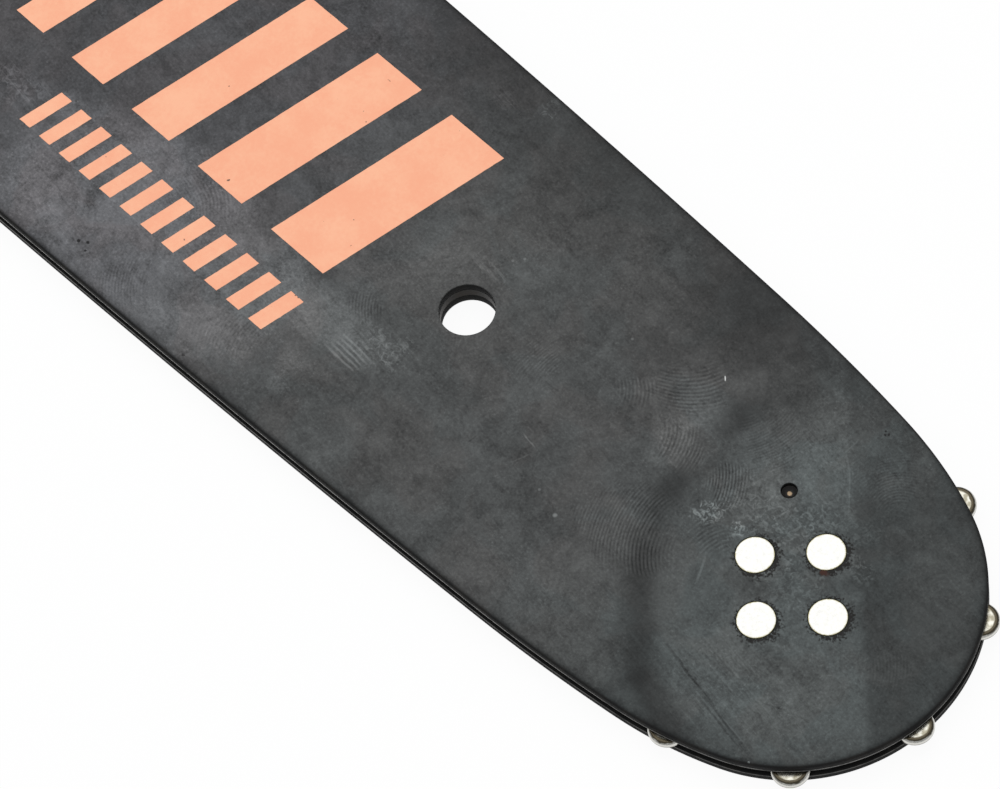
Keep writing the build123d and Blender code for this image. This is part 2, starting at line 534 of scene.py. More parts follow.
def ringTree():
    # copies of one shape round an upright axis, each turned to face outwards
    tree, given = newTree("ringOfCopies", {
        "Shape": "NodeSocketObject",
        "Count": "NodeSocketInt",
        "Ring Radius": "NodeSocketFloat",
        "First Turn": "NodeSocketFloat",
        "Axis": "NodeSocketVector",
        "Material": "NodeSocketMaterial",
    })
    index = addNode(tree, "GeometryNodeInputIndex").outputs[0]
    pitch = maths(tree, "DIVIDE", 2 * math.pi, given["Count"])
    turn = maths(tree, "MULTIPLY_ADD", index, pitch, given["First Turn"])
    out = combine(tree, maths(tree, "COSINE", turn), maths(tree, "SINE", turn))
    spot = vectorMaths(tree, "ADD", vectorScale(tree, out, given["Ring Radius"]), given["Axis"])
    points = addNode(tree, "GeometryNodePoints", {"Count": given["Count"], "Position": spot}).outputs[0]
    shape = addNode(tree, "GeometryNodeObjectInfo", {"Object": given["Shape"]}).outputs["Geometry"]
    inputs = {"Points": points, "Instance": shape, "Rotation": combine(tree, z=turn)}
    copies = addNode(tree, "GeometryNodeInstanceOnPoints", inputs).outputs[0]
    endTree(tree, copies, given["Material"])
    return tree


def barsTree():
    # a row of leaning printed bars, each narrower than the one before, with slightly uneven ink edges
    tree, given = newTree("leaningBars", {
        "Count": "NodeSocketInt",
        "First Width": "NodeSocketFloat",
        "Shrink": "NodeSocketFloat",
        "Gap": "NodeSocketFloat",
        "Height": "NodeSocketFloat",
        "Lean": "NodeSocketFloat",
        "Thickness": "NodeSocketFloat",
        "Unevenness": "NodeSocketFloat",
        "Place": "NodeSocketVector",
        "Material": "NodeSocketMaterial",
    })
    index = addNode(tree, "GeometryNodeInputIndex").outputs[0]
    shrunk = maths(tree, "POWER", given["Shrink"], index)
    width = product(tree, given["First Width"], shrunk)
    ahead = maths(tree, "DIVIDE", maths(tree, "SUBTRACT", given["First Width"], width),
                  maths(tree, "SUBTRACT", 1.0, given["Shrink"]))
    gaps = product(tree, index, given["Gap"])
    back = total(tree, ahead, gaps, product(tree, width, 0.5))
    spot = combine(tree, product(tree, back, -1.0))
    points = addNode(tree, "GeometryNodePoints", {"Count": given["Count"], "Position": spot}).outputs[0]
    grid = {"Size": (1, 1, 1), "Vertices X": ink["pointsAcross"], "Vertices Y": ink["pointsAlong"]}
    bar = addNode(tree, "GeometryNodeMeshCube", grid).outputs[0]
    size = combine(tree, width, given["Height"], given["Thickness"])
    inputs = {"Points": points, "Instance": bar, "Scale": size}
    copies = addNode(tree, "GeometryNodeInstanceOnPoints", inputs).outputs[0]
    solid = addNode(tree, "GeometryNodeRealizeInstances", {0: copies}).outputs[0]
    here = addNode(tree, "GeometryNodeInputPosition").outputs[0]
    shear = product(tree, separate(tree, here)["Y"], maths(tree, "TANGENT", given["Lean"]))
    inputs = {"Vector": here, "Scale": 1 / (ink["raggedSize"] * mm), "Detail": 2.0}
    ragged = addNode(tree, "ShaderNodeTexNoise", inputs).outputs["Color"]
    swing = vectorMaths(tree, "SUBTRACT", ragged, (0.5, 0.5, 0.5))
    swing = flattened(tree, vectorScale(tree, swing, given["Unevenness"]))
    leaning = vectorMaths(tree, "ADD", combine(tree, shear), swing)
    offset = vectorMaths(tree, "ADD", leaning, given["Place"])
    placed = addNode(tree, "GeometryNodeSetPosition", {"Geometry": solid, "Offset": offset}).outputs[0]
    endTree(tree, placed, given["Material"])
    return tree


# Rivets: flush ground heads, very slightly dished, with a broken edge at the seam

def rivetShape():
    radius, edge, steps = rivets["radius"], rivets["edgeRound"], rivets["roundSteps"]
    top = [(rivets["dishRadius"], faceZ - rivets["dish"]), (radius - edge - rivets["flatRing"], faceZ)]
    for step in range(steps + 1):
        turn = math.pi / 2 * step / steps
        top.append((radius - edge * (1 - math.sin(turn)), faceZ - edge * (1 - math.cos(turn))))
    bottom = [(r, lowerLow.z + faceZ - z) for r, z in reversed(top)]
    return turnedShape("rivetShape", Vector((0, 0)), top + bottom, rivets["segments"], None)


# Nose sprocket: one tooth with its share of the rim, set round the axis

wheel = {
    "toothCount": 9,
    "tipRadius": 24.1,
    "domeRadius": 2.3,
    "flankAngle": 16.0,
    "phase": -6.7,
    "gulletRadius": 15.68,
    "boreRadius": 12.68,
    "edgeRound": 0.46,
    "boreEdge": 0.12,
    "edgeSteps": 6,
    "domeSteps": 18,
    "flankSteps": 4,
    "gulletSteps": 10,
}


def toothOutline():
    # half a tooth from tip to gullet, each point with its way out of the metal, then its mirror image
    lean = math.radians(wheel["flankAngle"])
    halfPitch = math.pi / wheel["toothCount"]
    domeX = wheel["tipRadius"] - wheel["domeRadius"]
    halfGap = halfPitch + lean
    corner = (domeX * math.sin(lean) + wheel["domeRadius"]) / math.sin(halfGap)
    gulletRound = (wheel["gulletRadius"] - corner) / (1 / math.sin(halfGap) - 1)
    gulletReach = wheel["gulletRadius"] + gulletRound
    gullet = gulletReach * outward(halfPitch)
    half = []
    flankTurn = math.pi / 2 - lean
    for step in range(wheel["domeSteps"] + 1):
        turn = flankTurn * step / wheel["domeSteps"]
        out = outward(turn)
        half.append((Vector((domeX, 0)) + wheel["domeRadius"] * out, out))
    domeEnd, flankOut = half[-1]
    gulletStart = gullet - gulletRound * flankOut
    for step in range(1, wheel["flankSteps"]):
        half.append((domeEnd.lerp(gulletStart, step / wheel["flankSteps"]), flankOut))
    for step in range(wheel["gulletSteps"] + 1):
        turn = flankTurn + (halfPitch - flankTurn) * step / wheel["gulletSteps"]
        out = outward(turn)
        half.append((gullet - gulletRound * out, out))
    mirrored = [(Vector((p.x, -p.y)), Vector((n.x, -n.y))) for p, n in half[:0:-1]]
    return mirrored + half


def toothShape():
    low, high = wheelLow.z, wheelHigh.z
    middle = (low + high) / 2
    boreEdge = wheel["boreEdge"]
    worn, steps = wheel["edgeRound"], wheel["edgeSteps"]
    upperRim = edgeProfile(high, middle, worn, worn, 0.0, steps, 1)[:steps + 2]
    lowerRim = [(inset, low + high - z) for inset, z in reversed(upperRim)]
    bore = [(boreEdge, low), (0, low + boreEdge), (0, high - boreEdge), (boreEdge, high)]
    bm = bmesh.new()
    rimDistance = bm.verts.layers.float.new("rimDistance")
    columns = []
    for p, n in toothOutline():
        column = []
        for inset, z in upperRim + lowerRim:
            column.append(bm.verts.new((*(p - inset * n), z)))
            column[-1][rimDistance] = inset
        for step, z in bore:
            column.append(bm.verts.new((*(p.normalized() * (wheel["boreRadius"] + step)), z)))
            column[-1][rimDistance] = p.length - wheel["boreRadius"]
        columns.append(column)
    joinRings(bm, columns)
    return addPiece("toothShape", bm, None)


# Worn black coating: mottled grey film with painted sheen and shade, finger marks painted as sheen, rubbed
# streaks, scratches and dust

coating = {
    "tone": 0.0575,
    "plain": (0.98, 1.01, 1.00, 1),
    "nose": (0.925, 1.035, 1.025, 1),
    "noseFrom": 306.0,
    "noseTo": 330.0,
    "tail": (1.00, 0.985, 1.04, 1),
    "tailFrom": 278.0,
    "tailTo": 240.0,
    "cool": (0.982, 1.007, 1.011, 1),
    "warm": (1.018, 0.994, 0.986, 1),
    "tintEdge": (0.44, 0.56),
    "swings": {"cloud": 1.1, "stain": 0.20, "patch": 1.2, "smear": 0.45, "scuff": 0.6, "grain": 1.5},
    "fleck": 0.3,
    "fleckEdge": (0.60, 0.74),
    "darkest": 0.006,
    "roughness": 0.46,
    "unevenGloss": 0.2,
    "specular": 0.16,
    "bump": (0.02, 0.35),  # depth and strength
    "patchHeight": 1.5,  # of the patches against the grain
    "undersideShift": 37.0,  # gives the lower plate another pattern
}

# Noises of the film: size of a blotch, detail, roughness, shift and warp
filmPatterns = {
    "cloud": (9.0, 3.0, 0.55, 3.0, 0.8),
    "blotch": (5.5, 4.0, 0.6, 61.0, 1.2),
    "patch": (2.6, 4.0, 0.62, 11.0, 1.0),
    "smear": (1.0, 2.0, 0.6, 29.0, 0.0),
    "grain": (0.3, 3.0, 0.65, 0.0, 0.0),
    "scuff": (0.8, 3.0, 0.65, 43.0, 1.2),
    "ragged": (2.4, 1.0, 0.5, 23.0, 0.0),
    "bend": (14.0, 0.0, 0.5, 71.0, 0.0),
    "tint": (9.0, 3.0, 0.5, 51.0, 0.6),
}
smearStretch = {"turn": 8.0, "size": (14.0, 0.3, 1.0)}  # smears are drawn out along the bar
stainEdge = (0.46, 0.55)

# Rim of each plate: painted shade on a strip of the face along the edge, black over the edge, and a painted
# highlight line at the lip of the groove
plateRim = {
    # painted shade: the face is darkened over a strip along the edge
    "edgeShadeTone": 0.85,
    "edgeShadeSpan": (0.8, 1.2),
    "edgeShadeSway": 0.6,
    "overEdge": 0.24,  # depth at which the film has given way to the black
    "edge": (0.009, 0.009, 0.009, 1),
    "stain": (0.014, 0.013, 0.012, 1),
    "stainEdge": (0.45, 0.65),
    "roughness": 0.8,
    # painted highlight: a bright line at the lip of the groove
    "lipHighlightDepth": 1.2,
    "lipHighlightWidth": 0.16,
    "lipHighlightCore": 0.4,  # even share of that width
    "lipHighlight": (0.38, 0.372, 0.355, 1),
    "lipHighlightBreaks": (0.30, 0.55),
    "lipHighlightLeast": 0.3,  # share of the line that is left in its breaks
    "lipHighlightFade": (300.0, 330.0),  # along the bar, where the line grows fainter towards the nose
    "noseLipHighlight": 0.55,
    "lowerLipHighlight": 0.6,
    "railEdge": (0.5, 1.0),  # the line is on the rail, not in the holes
}


def markTable(fields, *rows):
    # marks of one kind, with the names of their fields given once
    return [dict(zip(fields, row)) for row in rows]


# Broad tones of the upper face, as shares by which the film's tone rises or falls: a dark curved band
# behind the rivets, painted shade at the darker tip and towards the far rail, and ovals, the lighter of them
# painted sheen
faceTones = {
    "band": {"middle": (345.5, 8.0), "radius": 32.0, "core": 0.3, "width": 3.4, "strength": -0.56},
    "bandFade": (12.0, 19.0),  # across the bar
    # painted shade: the darker tip, and below it the far side
    "nose": {"at": (342.5, 2.3), "way": (0.68, 0.73), "soft": 0.7, "strength": -0.36},
    "farSide": {"from": 10.0, "to": 31.0, "strength": -0.48},
    "farSideFade": (305.0, 322.0),  # along the bar
    "farSideEnd": 0.2,
    "sway": 1.8,
    "cloudSway": 1.0,  # of the edges of the ovals
    "patchSway": 0.6,
    # where, half lengths along and across the bar, share of these that is even, and change
    # ovals, the lighter of them painted sheen
    "patches": markTable(
        ("at", "reach", "core", "strength"),
        ((244.5, -18.0), (25.5, 11.5), 0.8, 0.86),
        ((237.0, -10.5), (9.0, 4.5), 0.7, 0.14),
        ((269.0, -12.0), (10.0, 4.5), 0.4, 0.75),
        ((311.5, 6.0), (5.0, 7.0), 0.4, 0.62),
        ((324.0, 9.0), (7.0, 8.0), 0.3, 0.52),
        ((339.0, -9.0), (15.0, 10.0), 0.4, 0.31),
        ((308.0, 21.0), (13.0, 10.0), 0.3, -0.26),
        ((273.0, 1.0), (7.0, 8.0), 0.3, 0.34),
        ((310.0, -20.0), (10.0, 5.0), 0.3, 0.16),
        ((244.0, 22.0), (9.0, 8.0), 0.3, 0.32),
        ((329.0, 20.0), (10.0, 8.0), 0.5, 0.36),
        ((330.0, -2.9), (2.8, 2.4), 0.4, -0.38),
        ((301.0, 12.5), (7.0, 5.0), 0.3, -0.16),
        ((229.0, -24.0), (8.0, 8.0), 0.4, 0.35),
        ((250.5, -22.0), (5.0, 3.5), 0.3, -0.30),
        ((268.0, -5.0), (5.0, 4.0), 0.3, 0.25),
        ((316.5, -4.5), (4.0, 4.0), 0.3, 0.25),
        ((346.0, -2.5), (3.5, 3.0), 0.3, 0.20),
        ((345.0, 13.0), (10.0, 6.0), 0.4, 0.15),
        ((292.0, 20.0), (7.0, 9.0), 0.4, 0.18),
        ((280.0, 8.0), (6.0, 9.0), 0.4, 0.16),
        ((329.0, -22.5), (4.0, 4.0), 0.3, -0.30),
        ((335.0, -15.0), (9.0, 6.0), 0.4, 0.16),
    ),
}

# Finger marks, painted as sheen in the colour: where, how large, what the ridges curl round, seen from there,
# and change of tone
fingerMarkSheens = markTable(
    ("at", "size", "whorl", "strength"),
    ((314.3, -7.3), 6.5, (11.0, 4.0), 0.021),
    ((322.1, -1.7), 3.0, (7.3, -1.5), 0.017),
    ((311.4, 4.5), 3.8, (-7.7, -3.8), 0.028),
    ((318.9, 4.4), 3.2, (-5.1, -4.7), 0.034),
    ((307.7, 10.1), 4.6, (-8.3, 8.5), 0.022),
    ((302.8, 5.9), 2.6, (-5.8, -5.3), 0.018),
    ((319.6, 11.7), 4.5, (-8.9, 3.3), 0.012),
    ((328.0, 6.3), 2.4, (0.6, 0.4), 0.010),
    ((246.5, -9.6), 5.0, (-4.7, -8.0), 0.022),
    ((246.5, -25.0), 4.0, (8.2, 4.7), 0.016),
    ((261.7, -21.4), 4.5, (8.7, 3.3), 0.014),
    ((271.4, -7.8), 2.6, (5.5, 5.0), 0.018),
    ((291.3, 0.9), 3.0, (9.1, 1.2), 0.016),
    ((332.9, 16.7), 4.2, (3.7, -2.2), 0.011),
    ((349.2, -0.2), 3.0, (-5.3, -5.1), 0.006),
)
ridgeSpacing = 0.42

# Rubbed patches: ovals as above, with their share of streaks against scuffs
rubbedPatches = markTable(
    ("at", "reach", "core", "streaks", "strength"),
    ((276.6, -10.2), (4.8, 3.4), 0.4, 0.2, 0.085),
    ((217.5, -15.2), (5.5, 2.8), 0.3, 0.4, 0.08),
    ((320.2, 0.4), (3.2, 1.7), 0.3, 0.0, 0.16),
    ((323.5, 1.0), (1.5, 1.0), 0.3, 0.0, 0.16),
    ((337.0, -14.0), (13.0, 6.0), 0.3, 0.8, 0.016),
    ((338.0, 7.0), (2.6, 1.6), 0.3, 0.0, 0.06),
    ((327.0, 4.5), (7.5, 6.0), 0.4, 0.1, 0.06),
    ((333.5, -0.3), (6.5, 3.5), 0.5, 0.0, 0.035),
    ((331.0, 10.0), (6.0, 4.0), 0.4, 0.2, 0.03),
    ((278.3, 5.7), (4.0, 1.2), 0.4, 0.6, 0.06),
    ((268.4, 26.0), (2.2, 1.7), 0.3, 0.1, 0.06),
    ((263.6, 23.2), (2.4, 1.4), 0.3, 0.3, 0.045),
)

# Single scratches and fibres: from, to, width and change of tone
scratches = markTable(
    ("from", "to", "width", "strength"),
    ((323.4, -3.6), (325.4, -7.3), 0.22, 0.040),
    ((326.0, -14.4), (345.5, -18.6), 0.24, -0.032),
    ((335.1, -17.1), (343.7, -18.6), 0.18, -0.024),
    ((331.0, -15.8), (346.0, -18.2), 0.12, 0.018),
    ((293.6, -0.4), (296.6, -0.3), 0.16, -0.022),
    ((296.5, -6.9), (299.5, -7.5), 0.13, 0.050),
    ((298.4, -10.8), (299.5, -8.0), 0.11, 0.028),
    ((292.8, -12.4), (293.0, -10.5), 0.14, -0.020),
    ((341.0, -12.9), (344.3, -11.4), 0.16, -0.022),
    ((345.2, -11.1), (347.0, -10.9), 0.14, -0.024),
    ((349.3, -14.1), (349.0, -11.4), 0.15, -0.016),
    ((349.0, -11.4), (349.3, -9.5), 0.15, -0.014),
    ((341.4, -2.2), (346.2, -2.3), 0.12, 0.012),
    ((327.5, 15.9), (332.4, 10.7), 0.15, 0.030),
    ((326.1, 16.7), (328.6, 14.8), 0.14, 0.024),
    ((326.4, 16.1), (326.4, 19.4), 0.14, 0.020),
    ((309.0, 14.3), (309.6, 13.7), 0.10, 0.550),
)
rubbedLines = {
    "count": 5,
    "from": (270.7, -14.6),
    "to": (276.9, -14.8),
    "step": (0.14, 0.59),
    "width": 0.19,
    "strength": 0.070,
}
for number in range(rubbedLines["count"]):
    step = number * Vector(rubbedLines["step"])
    line = {end: Vector(rubbedLines[end]) + step for end in ("from", "to")}
    scratches.append(line | {part: rubbedLines[part] for part in ("width", "strength")})

# Dust and pits: where, how large, and change of tone
specks = markTable(
    ("at", "size", "strength"),
    ((307.1, -12.0), 0.36, 0.12),
    ((303.4, -10.9), 0.24, 0.07),
    ((297.6, 10.4), 0.24, 0.06),
    ((264.4, -15.7), 0.20, 0.35),
    ((345.1, -19.0), 0.18, 0.40),
    ((344.3, -20.2), 0.16, 0.30),
    ((279.7, 8.3), 0.24, 0.07),
    ((280.6, 9.4), 0.24, 0.07),
    ((238.8, -25.0), 0.34, -0.10),
    ((239.8, -24.4), 0.26, -0.10),
    ((240.4, -25.3), 0.22, -0.10),
    ((259.5, -27.0), 0.30, -0.06),
    ((327.9, 21.6), 0.22, -0.05),
    ((328.2, 21.2), 0.24, -0.05),
    ((328.5, 21.5), 0.22, -0.05),
)

# What the marks share: their even cores, and the noise that bends their edges and breaks them up
markBreaks = {
    "outerEdge": 1.1,  # where ovals and finger marks have faded out
    "fingerCore": 0.4,
    "lineCore": 0.3,  # even share of a scratch's width
    "lineEven": 0.4,  # and of its length
    "speckCore": 0.35,
    "sway": 1.4,
    "bend": 4.0,
    "waver": 0.25,
    "wander": 0.4,
    "dusty": 0.3,
    "ridges": (0.32, 0.55),
    "streaks": (0.48, 0.66),
    "scuffs": (0.46, 0.66),
}

# Dark dirt round the rivets, thicker towards the tip of the nose, with one spot of rust
rivetGrime = {
    "fade": (0.5, 1.6),
    "flecks": (0.05, 0.55),
    "grainSwing": 3.4,
    "scuffSwing": 2.0,
    "drift": 0.38,  # of the dirt, towards the tip
    "seam": 0.2,  # width of the unbroken dark line round each rivet
    "seamShare": 0.9,
    "rustSwing": 2.4,
    "colour": (0.004, 0.0035, 0.0025, 1),
    "rustSpot": {"at": (335.1, 3.8), "reach": (0.8, 0.5), "core": 0.2, "strength": 0.9},
    "rust": (0.045, 0.011, 0.004, 1),
}


def filmNoises(tree, place, shift):
    smearPlace = turned(tree, place, math.radians(smearStretch["turn"]))
    smearPlace = vectorMaths(tree, "DIVIDE", smearPlace, smearStretch["size"])
    film = {}
    for part, (size, detail, roughness, ownShift, warp) in filmPatterns.items():
        where = smearPlace if part == "smear" else place
        film[part] = noise(tree, where, size, detail, roughness, shift + ownShift, warp)
    film["stain"] = ramp(tree, film["blotch"], *stainEdge)
    return film


def softOval(tree, flat, sway, mark):
    # strength inside an oval, fading to nothing over its wandering edge
    near = vectorMaths(tree, "DIVIDE", fromSpot(tree, flat, mark["at"]), (*mark["reach"], 1))
    out = total(tree, vectorLength(tree, near), sway)
    return ramp(tree, out, mark["core"], markBreaks["outerEdge"], mark["strength"], 0.0)


def fingerMarkSheen(tree, flat, sway, bend, broken, mark):
    # a finger mark, painted as ridges of lighter and darker sheen
    near = fromSpot(tree, flat, mark["at"])
    out = total(tree, maths(tree, "DIVIDE", vectorLength(tree, near), mark["size"]), sway)
    inside = ramp(tree, out, markBreaks["fingerCore"], markBreaks["outerEdge"], mark["strength"], 0.0)
    curl = total(tree, distanceTo(tree, near, mark["whorl"]), bend)
    ridge = maths(tree, "SINE", product(tree, curl, 2 * math.pi / ridgeSpacing))
    return product(tree, ridge, inside, broken)


def rubbedPatch(tree, flat, sway, streak, scuff, mark):
    rubbed = addNode(tree, "ShaderNodeMix", {0: mark["streaks"], 2: scuff, 3: streak}).outputs[0]
    return product(tree, softOval(tree, flat, sway, mark), rubbed)


def scratch(tree, flat, sway, mark):
    start, end = Vector(mark["from"]), Vector(mark["to"])
    length = (end - start).length
    way = (end - start) / length
    near = fromSpot(tree, flat, start)
    along = vectorMaths(tree, "DOT_PRODUCT", near, (*way, 0), "Value")
    across = vectorMaths(tree, "DOT_PRODUCT", near, (-way.y, way.x, 0), "Value")
    bent = maths(tree, "ABSOLUTE", total(tree, across, sway))
    core = mark["width"] * markBreaks["lineCore"]
    line = ramp(tree, bent, core, mark["width"], mark["strength"], 0.0)
    fromMiddle = maths(tree, "ABSOLUTE", maths(tree, "SUBTRACT", along, length / 2))
    fade = ramp(tree, fromMiddle, length / 2 * markBreaks["lineEven"], length / 2, 1.0, 0.0)
    return product(tree, line, fade)


def speck(tree, flat, sway, mark):
    distance = total(tree, distanceTo(tree, flat, mark["at"]), sway)
    return ramp(tree, distance, mark["size"] * markBreaks["speckCore"], mark["size"], mark["strength"], 0.0)


def broadTones(tree, flat, film):
    band, nose, farSide = (faceTones[part] for part in ("band", "nose", "farSide"))
    sway = centred(tree, film["cloud"], faceTones["sway"])
    along, across = separate(tree, flat)[:2]
    ring = distanceTo(tree, flat, band["middle"])
    off = maths(tree, "ABSOLUTE", total(tree, ring, -band["radius"], sway))
    dark = ramp(tree, off, band["core"], band["width"], band["strength"], 0.0)
    fromNose = fromSpot(tree, flat, nose["at"])
    beyond = vectorMaths(tree, "DOT_PRODUCT", fromNose, (*nose["way"], 0), "Value")
    beyond = total(tree, beyond, sway)
    side = total(tree, across, sway)
    shade = ramp(tree, side, farSide["from"], farSide["to"], 0.0, farSide["strength"])
    shadeFade = ramp(tree, along, *faceTones["farSideFade"], 1.0, faceTones["farSideEnd"])
    shares = [
        product(tree, dark, ramp(tree, across, *faceTones["bandFade"], 1.0, 0.0)),
        ramp(tree, beyond, -nose["soft"], nose["soft"], 0.0, nose["strength"]),
        product(tree, shade, shadeFade),
    ]
    cloudy = centred(tree, film["cloud"], faceTones["cloudSway"])
    oval = total(tree, cloudy, centred(tree, film["patch"], faceTones["patchSway"]))
    shares += [softOval(tree, flat, oval, patch) for patch in faceTones["patches"]]
    return total(tree, 1.0, *shares)


def faceMarks(tree, flat, film):
    # changes of tone of all the marks on the upper face
    sway = centred(tree, film["ragged"], markBreaks["sway"])
    waver = centred(tree, film["ragged"], markBreaks["waver"])
    bend = total(tree, centred(tree, film["bend"], markBreaks["bend"]), waver)
    broken = ramp(tree, film["scuff"], *markBreaks["ridges"])
    streak = ramp(tree, film["smear"], *markBreaks["streaks"])
    scuff = ramp(tree, film["scuff"], *markBreaks["scuffs"])
    wander = centred(tree, film["ragged"], markBreaks["wander"])
    dusty = centred(tree, film["grain"], markBreaks["dusty"])
    marks = [fingerMarkSheen(tree, flat, sway, bend, broken, mark) for mark in fingerMarkSheens]
    marks += [rubbedPatch(tree, flat, sway, streak, scuff, mark) for mark in rubbedPatches]
    marks += [scratch(tree, flat, wander, mark) for mark in scratches]
    marks += [speck(tree, flat, dusty, mark) for mark in specks]
    return marks


def rivetDistance(tree, flat, drift=0.0):
    # distance to the middle of the nearest rivet, folded into one quarter
    around = fromSpot(tree, flat, (noseX + drift, 0))
    folded = vectorMaths(tree, "ABSOLUTE", turned(tree, around, math.pi / 4))
    quarter = rivets["circleRadius"] / math.sqrt(2)
    return distanceTo(tree, folded, (quarter, quarter))


def addRivetGrime(tree, flat, film, colour):
    radius = rivets["radius"]
    gap = maths(tree, "SUBTRACT", rivetDistance(tree, flat, rivetGrime["drift"]), radius)
    grainy = centred(tree, film["grain"], rivetGrime["grainSwing"])
    flecks = total(tree, gap, grainy, centred(tree, film["scuff"], rivetGrime["scuffSwing"]))
    grime = ramp(tree, flecks, *rivetGrime["flecks"], 1.0, 0.0)
    grime = product(tree, grime, ramp(tree, gap, *rivetGrime["fade"], 1.0, 0.0))
    seamEnd = radius + rivetGrime["seam"]
    seam = ramp(tree, rivetDistance(tree, flat), radius, seamEnd, rivetGrime["seamShare"], 0.0)
    colour = mixColour(tree, maths(tree, "MAXIMUM", grime, seam), colour, rivetGrime["colour"])
    rustSway = centred(tree, film["grain"], rivetGrime["rustSwing"])
    rusty = softOval(tree, flat, rustSway, rivetGrime["rustSpot"])
    return mixColour(tree, rusty, colour, rivetGrime["rust"])


def filmTone(tree, film):
    swings = [centred(tree, film[part], swing) for part, swing in coating["swings"].items()]
    flecks = ramp(tree, film["grain"], *coating["fleckEdge"], 0.0, coating["fleck"])
    return product(tree, total(tree, 1.0, flecks, *swings), coating["tone"])


def filmHue(tree, flat, film):
    along = separate(tree, flat)["X"]
    towardsNose = ramp(tree, along, coating["noseFrom"], coating["noseTo"])
    towardsTail = ramp(tree, along, coating["tailTo"], coating["tailFrom"], 1.0, 0.0)
    hue = mixColour(tree, towardsNose, coating["plain"], coating["nose"])
    hue = mixColour(tree, towardsTail, hue, coating["tail"])
    blotch = mixColour(tree, ramp(tree, film["tint"], *coating["tintEdge"]), coating["cool"], coating["warm"])
    return vectorMaths(tree, "MULTIPLY", hue, blotch)


def rimColour(tree, flat, depth, inset, film, lipHighlightShare):
    # black over the edge and in the holes, with a broken painted highlight line at the lip of the groove
    stained = ramp(tree, film["patch"], *plateRim["stainEdge"])
    black = mixColour(tree, stained, plateRim["edge"], plateRim["stain"])
    # painted highlight line at the lip of the groove
    offLip = maths(tree, "ABSOLUTE", maths(tree, "SUBTRACT", depth, plateRim["lipHighlightDepth"]))
    line = ramp(tree, offLip, plateRim["lipHighlightWidth"] * plateRim["lipHighlightCore"], plateRim["lipHighlightWidth"], 1.0, 0.0)
    onRail = ramp(tree, inset, *plateRim["railEdge"], 1.0, 0.0)
    broken = ramp(tree, film["patch"], *plateRim["lipHighlightBreaks"], plateRim["lipHighlightLeast"] * lipHighlightShare, lipHighlightShare)
    fade = ramp(tree, separate(tree, flat)["X"], *plateRim["lipHighlightFade"], 1.0, plateRim["noseLipHighlight"])
    share = product(tree, broken, fade)
    line = product(tree, line, onRail, share)
    return mixColour(tree, line, black, plateRim["lipHighlight"])


def coatingMaterial(name, outerZ, marked):
    made, tree, shader, place = newMaterial(name)
    film = filmNoises(tree, place, 0.0 if marked else coating["undersideShift"])
    flat = flattened(tree, place)
    inset = insetFromEdge(tree)
    tone = filmTone(tree, film)
    if marked:
        tone = product(tree, tone, broadTones(tree, flat, film))
        tone = total(tree, tone, *faceMarks(tree, flat, film))
    wavyInset = total(tree, inset, centred(tree, film["ragged"], plateRim["edgeShadeSway"]))
    # painted shade on the strip of the face along the edge
    edgeShade = ramp(tree, wavyInset, *plateRim["edgeShadeSpan"], plateRim["edgeShadeTone"], 1.0)
    tone = maths(tree, "MAXIMUM", product(tree, tone, edgeShade), coating["darkest"])
    colour = vectorScale(tree, filmHue(tree, flat, film), tone)
    colour = addRivetGrime(tree, flat, film, colour)
    depth = maths(tree, "ABSOLUTE", maths(tree, "SUBTRACT", separate(tree, place)["Z"], outerZ))
    overEdge = ramp(tree, depth, 0.0, plateRim["overEdge"])
    # share of the painted lip highlight on each plate
    lipHighlightShare = 1.0 if marked else plateRim["lowerLipHighlight"]
    colour = mixColour(tree, overEdge, colour, rimColour(tree, flat, depth, inset, film, lipHighlightShare))
    satin = total(tree, coating["roughness"], centred(tree, film["patch"], coating["unevenGloss"]))
    inputs = {0: overEdge, 2: satin, 3: plateRim["roughness"]}
    paint(tree, shader, colour, addNode(tree, "ShaderNodeMix", inputs).outputs[0])
    shader.inputs["Specular IOR Level"].default_value = coating["specular"]
    relief = maths(tree, "MULTIPLY_ADD", film["patch"], coating["patchHeight"], film["grain"])
    bump(tree, shader, relief, *coating["bump"])
    return made


# Inner pieces: steel with fine uneven wear, and dark oil over it; the core is also painted near black as the
# shade in the groove between the plates

# core: dark oiled steel, painted near black as the shade in the groove between the plates and in the holes
coreSteelAndGrooveShade = {
    "steel": (0.012, 0.0085, 0.0055, 1),
    "oil": (0.004, 0.003, 0.002, 1),
    "roughness": 0.5,
    "wearSize": 0.8,
    "blotchSize": 5.6,
}

bearingFinish = {
    "steel": (0.20, 0.16, 0.105, 1),
    "oil": (0.02, 0.015, 0.009, 1),
    "roughness": 0.25,
    "wearSize": 0.6,
    "blotchSize": 4.2,
}

steelWear = {"fineSwing": 0.6, "edge": (0.40, 0.60)}
metalRelief = {"unevenGloss": 0.2, "depth": 0.015, "strength": 0.3}  # of all the bare steel


def finishMetal(tree, shader, colour, roughness, fine, depth=metalRelief["depth"]):
    # bare metal whose gloss and relief follow its fine noise
    paint(tree, shader, colour, total(tree, roughness, centred(tree, fine, metalRelief["unevenGloss"])))
    shader.inputs["Metallic"].default_value = 1.0
    bump(tree, shader, fine, depth, metalRelief["strength"])


def steelMaterial(name, finish):
    made, tree, shader, place = newMaterial(name)
    fine = noise(tree, place, finish["wearSize"], 4.0, 0.6)
    blotch = noise(tree, place, finish["blotchSize"], 3.0, 0.5, shift=9.0)
    worn = ramp(tree, total(tree, centred(tree, fine, steelWear["fineSwing"]), blotch), *steelWear["edge"])
    colour = mixColour(tree, worn, finish["oil"], finish["steel"])
    finishMetal(tree, shader, colour, finish["roughness"], fine)
    return made


# Rivet heads: ground white, with an olive line of old oil round the rim

